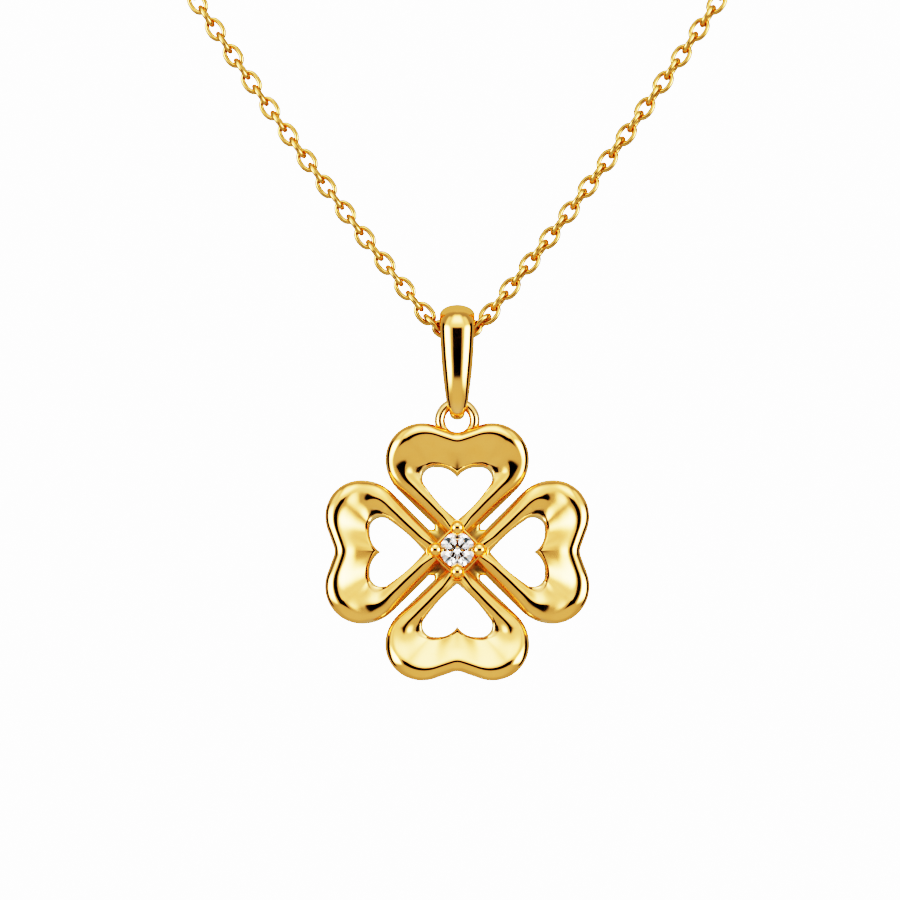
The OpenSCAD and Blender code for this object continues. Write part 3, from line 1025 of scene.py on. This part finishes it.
@dataclass
class CableChain:
    """The cable chain: oval links, each turned a quarter from the one before, along the loop.

    Attributes:
        half_length: Half length of a link's middle line.
        half_width: Half width of that line.
        oval: Power that makes the line a little squarer than an ellipse.
        wire_r: Radius of the wire.
        pitch: Distance from one link to the next.
        hidden_half: Distance from the loop's bottom to the first link that shows beside the bail.
        hidden_links: Links from the bottom to that one.
        clasp_x: Distance of the end link's middle from the loop's top.
        run_on: Length by which the route runs on past that middle.
        chord: Half of the stretch of route that a link points along.
        twist: Turn of all links about the chain, in degrees.
        settling: Length before the clasp over which that turn dies out.
        wander: Largest turn that chance adds to a link, in degrees.
        end_share: Size of the end link's line, as a share of the others'.
        fine_reach: Links within this running distance of the bottom are finely made.
        fine: Steps round a finely made link, and points round its wire.
        plain: The same for the other links.
    """

    half_length: float = 0.61
    half_width: float = 0.4025
    oval: float = 0.9
    wire_r: float = 0.148
    pitch: float = 0.92
    hidden_half: float = 2.2
    hidden_links: int = 3
    clasp_x: float = 4.75
    run_on: float = 1.0
    chord: float = 0.3
    twist: float = 11.0
    settling: float = 12.0
    wander: float = 3.0
    end_share: float = 1.18
    fine_reach: float = 30.0
    fine: tuple[int, int] = (32, 12)
    plain: tuple[int, int] = (12, 5)

    # Half of the route as (x, z), from inside the bail to the clasp
    HALF_ROUTE = np.array([
        (0, -180), (0.5, -179.94), (1, -179.75), (1.5, -179.35), (2.2, -178.5), (3, -177.5), (5.25, -174.6),
        (7.5, -171.6), (9.6, -168.7), (11.7, -165.7), (13.8, -162.6), (18, -156.2), (24, -146.6), (30, -136.4),
        (36, -125.2), (42, -112.5), (47, -99.5), (51, -85), (53.5, -70), (54.5, -55), (52.6, -40.8),
        (47.2, -27.5), (38.5, -16.1), (27.3, -7.4), (14.1, -1.9), (5.1, -0.2)])

    def route(self) -> np.ndarray:
        """The right half of the smooth route.

        Returns:
            Its points as (x, z), from the bottom to just past the end link.
        """
        mirrored = self.HALF_ROUTE[:0:-1] * (-1, 1)
        whole = flowing(np.concatenate([mirrored, self.HALF_ROUTE]), 40)
        half = whole[len(whole) // 2 :]
        return np.concatenate([half, [(self.clasp_x, 0.0), (self.clasp_x - self.run_on, 0.0)]])

    def link(self, around: int, sides: int, grow: float) -> np.ndarray:
        """One link along X in the XY plane: a circle of the wire's radius carried round an oval.

        Args:
            around: Steps round the oval.
            sides: Points round the wire.
            grow: Size of the oval as a share of its own.

        Returns:
            Array of steps by points by coordinates.
        """
        c, s = turned(np.linspace(0, 360, around, endpoint=False)).T
        oval = grow * np.stack([
            self.half_length * np.sign(c) * np.abs(c) ** self.oval,
            self.half_width * np.sign(s) * np.abs(s) ** self.oval, 0 * c], -1)
        out = np.stack([c / self.half_length, s / self.half_width, 0 * c], -1)
        out /= np.linalg.norm(out, axis=1, keepdims=True)
        cut = self.wire_r * turned(np.linspace(0, 360, sides, endpoint=False))
        return oval[:, None] + cut[:, :1] * out[:, None] + cut[:, 1:] * np.array([0, 0, 1.0])

    def spacing(self, total: float) -> np.ndarray:
        """Where the links lie: the hidden ones in equal steps, and the others a pitch apart.

        Args:
            total: Running length to the end link's middle.

        Returns:
            Running distance of each link's middle from the bottom, the bottom link included.
        """
        hidden = np.linspace(0, self.hidden_half, self.hidden_links + 1)
        count = int(round((total - self.hidden_half) / self.pitch / 2 - 0.5)) * 2 + 1
        return np.concatenate([hidden, np.linspace(self.hidden_half, total, count + 1)[1:]])

    def shells(self) -> list[Shell]:
        """All links, the fine ones and the plain ones.

        A link's length follows the route. Each is turned a quarter from the one before, and all by
        the same small twist and a little chance, both of which die out before the clasp.

        Returns:
            One shell for each link.
        """
        route = self.route()
        total = lengths_along(route)[-1] - self.run_on
        s = self.spacing(total)
        places = at_lengths(route, s)
        way = at_lengths(route, s + self.chord) - at_lengths(route, s - self.chord)
        way[0] = (1, 0)
        way /= np.linalg.norm(way, axis=1, keepdims=True)
        steady = ease((total - s) / self.settling)
        chance = np.random.default_rng(7).uniform(-self.wander, self.wander, len(s))
        turn = steady * (self.twist + chance) + np.where(np.arange(len(s)) % 2, 0, 90)
        turn[0] = 90
        shells = []
        for side in (1, -1):
            chosen = np.arange(len(s)) if side > 0 else np.arange(1, len(s))
            along = np.stack([side * way[:, 0], 0 * s, way[:, 1]], -1)
            across = np.stack([-side * way[:, 1], 0 * s, way[:, 0]], -1) * side
            c, q = turned(turn).T[:, :, None]
            wide = c * across + q * np.array([0, 1.0, 0])
            normal = np.cross(along, wide)
            middle = np.stack([side * places[:, 0], 0 * s, places[:, 1]], -1)
            for i in chosen:
                detail = self.fine if s[i] < self.fine_reach else self.plain
                link = self.link(*detail, self.end_share if i == len(s) - 1 else 1.0)
                shells.append(loft(middle[i] + link @ np.stack([along[i], wide[i], normal[i]]), joined=True))
        return shells

    def build(self, metal: Material) -> None:
        """Builds and dresses the chain."""
        make_piece("chain_links", self.shells(), metal, Body.NECKLACE, "chain", WIRE_SHARP)


@dataclass
class Clasp:
    """The hidden clasp: a plain ring with an eye at each side for the ends of the chain.

    Attributes:
        ring_r: Mean radius of the ring.
        wire_r: Radius of its wire.
        eye_r: Mean radius of an eye.
        eye_wire_r: Radius of an eye's wire.
        groove: Depth of the two fine grooves across the ring.
        groove_at: Their places round the ring, in degrees.
        groove_turn: Their width, in degrees.
    """

    ring_r: float = 2.2
    wire_r: float = 0.6
    eye_r: float = 0.9
    eye_wire_r: float = 0.3
    groove: float = 0.05
    groove_at: tuple[float, float] = (60, 120)
    groove_turn: float = 1.6

    def build(self, metal: Material) -> None:
        """Builds and dresses the clasp: the ring's wire thins by a narrow bell curve at each groove.

        Args:
            metal: The polished gold.
        """
        angle = np.linspace(0, 360, 240, endpoint=False)
        grooves = sum(np.exp(-(((angle - place) / self.groove_turn) ** 2)) for place in self.groove_at)
        ring = wire_ring(self.ring_r, self.wire_r - self.groove * grooves, 240, 32)
        eye_x = self.ring_r + self.wire_r + self.eye_r
        eyes = [wire_ring(self.eye_r, self.eye_wire_r, 64, 20).moved((side * eye_x, 0, 0)) for side in (-1, 1)]
        make_piece("clasp_ring", [ring, *eyes], metal, Body.NECKLACE, "clasp", WIRE_SHARP)


@dataclass(frozen=True)
class Softbox:
    """A soft-edged patch of the light dome, in angles seen from the pendant.

    Attributes:
        side: Its left and right side, in degrees right of the camera.
        rise: Its lower and upper side, in degrees above the camera.
        glow: Its brightness.
        soft: Width of its soft edge, in degrees.
        spread: Widening of both sides for each degree of rise above the lower side.
        twin: Whether a mirror image of it stands on the other side.
    """

    side: tuple[float, float]
    rise: tuple[float, float]
    glow: float
    soft: float = 4.0
    spread: float = 0.0
    twin: bool = False

    def painted(self, glow: np.ndarray, side: np.ndarray, rise: np.ndarray) -> np.ndarray:
        """The dome's glow with this patch painted over it: a mix by smooth steps at each edge.

        Args:
            glow: The dome's glow so far.
            side: Sideways angle of each point of the dome.
            rise: Rise of each point.

        Returns:
            The new glow.
        """
        side = np.abs(side) if self.twin else side
        wide = self.spread * np.clip(rise - self.rise[0], 0, None)
        gaps = (side - self.side[0] + wide, self.side[1] + wide - side, rise - self.rise[0], self.rise[1] - rise)
        mask = np.prod([ease(gap / self.soft + 0.5) for gap in gaps], axis=0)
        return glow + mask * (self.glow - glow)


@dataclass
class Studio:
    """The studio: pale floor, a dome of soft light with dark drapes, and the camera.

    Attributes:
        field_mm: Width of the picture at the pendant.
        aim: The point at the middle of the picture, in millimetres.
        lens: Focal length of the long lens.
        floor_z: Height of the floor in metres.
        ambient: Brightness of the dome where nothing is painted on it.
        backdrop: Brightness of the white backdrop behind the necklace.
        boxes: The patches of the dome, each painted over the ones before.
    """

    field_mm: float = 50.94
    aim: tuple[float, float, float] = (-0.41, 0.0, -186.75)
    lens: float = 250.0
    floor_z: float = -0.30
    ambient: float = 0.56
    backdrop: float = 7.5
    boxes: tuple[Softbox, ...] = (
        Softbox((-40, 40), (-75, -8), 0.8, 40.0),
        Softbox((96, 200), (-20, 100), 0.5, 12.0, twin=True),
        Softbox((110, 200), (20, 100), 0.8, 20.0, twin=True),
        Softbox((-92, 92), (20, 100), 0.42, 10.0),
        Softbox((66, 92), (-30, 26), 0.0, 8.0, twin=True),
        Softbox((38, 62), (10, 60), 1.6, 12.0, twin=True),
        Softbox((35, 66), (-14, 22), 2.0, 12.0, twin=True),
        Softbox((36, 61), (-9, 19), 16.0, 18.0, twin=True),
        Softbox((-37, 37), (17, 75), 1.6, 18.0, 0.03),
        Softbox((-24, 24), (38, 68), 5.0, 24.0),
        Softbox((-20, 20), (-9, 18), 0.0, 5.0),
    )

    def camera_axes(self) -> np.ndarray:
        """Unit vectors towards the camera, to the right and up, one row each."""
        c, s = turned(CAMERA_TILT)
        return np.array([[0, -c, -s], [1, 0, 0], [0, -s, c]])

    def dome(self, radius: float = 6.0) -> None:
        """The light dome: a ball round the pendant whose inner side glows by its patches.

        Args:
            radius: The dome's radius in metres.
        """
        side, rise = np.meshgrid(np.arange(-180, 180, 2.0), np.arange(-88, 89, 2.0))
        glow = np.full(side.shape, self.ambient)
        for box in self.boxes:
            glow = box.painted(glow, side, rise)
        c, s = turned(rise).transpose(2, 0, 1)
        seen = np.concatenate([c[..., None] * turned(side), s[..., None]], axis=-1)
        shell = loft(np.array([0, 0, CLOVER_Z]) + radius / MM * (seen @ self.camera_axes()), joined=False)
        mesh = bpy.data.meshes.new("light_dome")
        faces = shell.quads[:, ::-1].tolist() + shell.tris[:, ::-1].tolist()
        mesh.from_pydata((shell.points * MM).tolist(), [], faces)
        values = mesh.attributes.new("glow", "FLOAT", "POINT").data
        values.foreach_set("value", np.concatenate([glow.ravel(), [self.ambient, glow[-1].mean()]]))
        mesh.materials.append(StudioGlow().material())
        dome = bpy.data.objects.new("light_dome", mesh)
        bpy.context.scene.collection.objects.link(dome)
        dome.visible_camera = False
        dome.visible_shadow = False

    def backdrop_world(self) -> None:
        """A pure white backdrop for what the camera sees directly, and dim light elsewhere."""
        world = bpy.data.worlds.new("white_backdrop")
        world.use_nodes = True
        nodes, links = world.node_tree.nodes, world.node_tree.links
        nodes.clear()
        room, backdrop = nodes.new("ShaderNodeBackground"), nodes.new("ShaderNodeBackground")
        room.inputs["Strength"].default_value = self.ambient
        backdrop.inputs["Strength"].default_value = self.backdrop
        for shade in (room, backdrop):
            shade.inputs["Color"].default_value = (1, 1, 1, 1)
        mix, output = nodes.new("ShaderNodeMixShader"), nodes.new("ShaderNodeOutputWorld")
        links.new(nodes.new("ShaderNodeLightPath").outputs["Is Camera Ray"], mix.inputs["Fac"])
        links.new(room.outputs[0], mix.inputs[1])
        links.new(backdrop.outputs[0], mix.inputs[2])
        links.new(mix.outputs[0], output.inputs["Surface"])
        bpy.context.scene.world = world

    def floor(self) -> None:
        """A wide pale floor well below the necklace."""
        half = 3.0
        mesh = bpy.data.meshes.new("studio_floor")
        corners = [(-half, -half), (half, -half), (half, half), (-half, half)]
        mesh.from_pydata([(x, y, self.floor_z) for x, y in corners], [], [(0, 1, 2, 3)])
        mesh.materials.append(PalePaper().material())
        floor = bpy.data.objects.new("studio_floor", mesh)
        bpy.context.scene.collection.objects.link(floor)
        floor.visible_glossy = False
        floor.visible_transmission = False

    def camera(self) -> None:
        """A long lens below the pendant's height, looking slightly up at the aim point."""
        data = bpy.data.cameras.new("long_lens")
        data.lens, data.sensor_width = self.lens, 36.0
        distance = self.lens * self.field_mm / data.sensor_width
        camera = bpy.data.objects.new("camera", data)
        bpy.context.scene.collection.objects.link(camera)
        camera.location = (np.array(self.aim) + distance * self.camera_axes()[0]) * MM
        camera.rotation_euler = (np.radians(90 + CAMERA_TILT), 0, 0)
        data.clip_start, data.clip_end = 0.01, 20.0
        bpy.context.scene.camera = camera

    def build(self) -> None:
        """Sets the camera, the floor, the backdrop and the dome, and the picture's tone curve."""
        self.camera()
        self.floor()
        self.backdrop_world()
        self.dome()
        settings = bpy.context.scene.view_settings
        settings.view_transform = "Filmic"
        settings.look = "Very High Contrast"


def dress_stone() -> None:
    """Gives the cut stone's own facets the clear finish, flat shaded as they are."""
    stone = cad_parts["diamond"]
    stone.data.materials.clear()
    stone.data.materials.append(ClearStone().material())
    LOG.info("diamond: kept as cut, %d faces", len(stone.data.polygons))


def corners(box: tuple) -> list[list[float]]:
    """A box as plain lists of numbers."""
    return [[float(c) for c in corner] for corner in box]


def main() -> None:
    """Builds every piece in order."""
    logging.basicConfig(level=logging.INFO, format="%(name)s: %(message)s")
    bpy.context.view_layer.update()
    Studio().build()
    Clover().build(CLOVER_GOLD.material())
    dress_stone()
    Bail().build(BAIL_GOLD.material())
    CableChain().build(CHAIN_GOLD.material())
    Clasp().build(CLASP_GOLD.material())


if __name__ == "__main__":
    main()
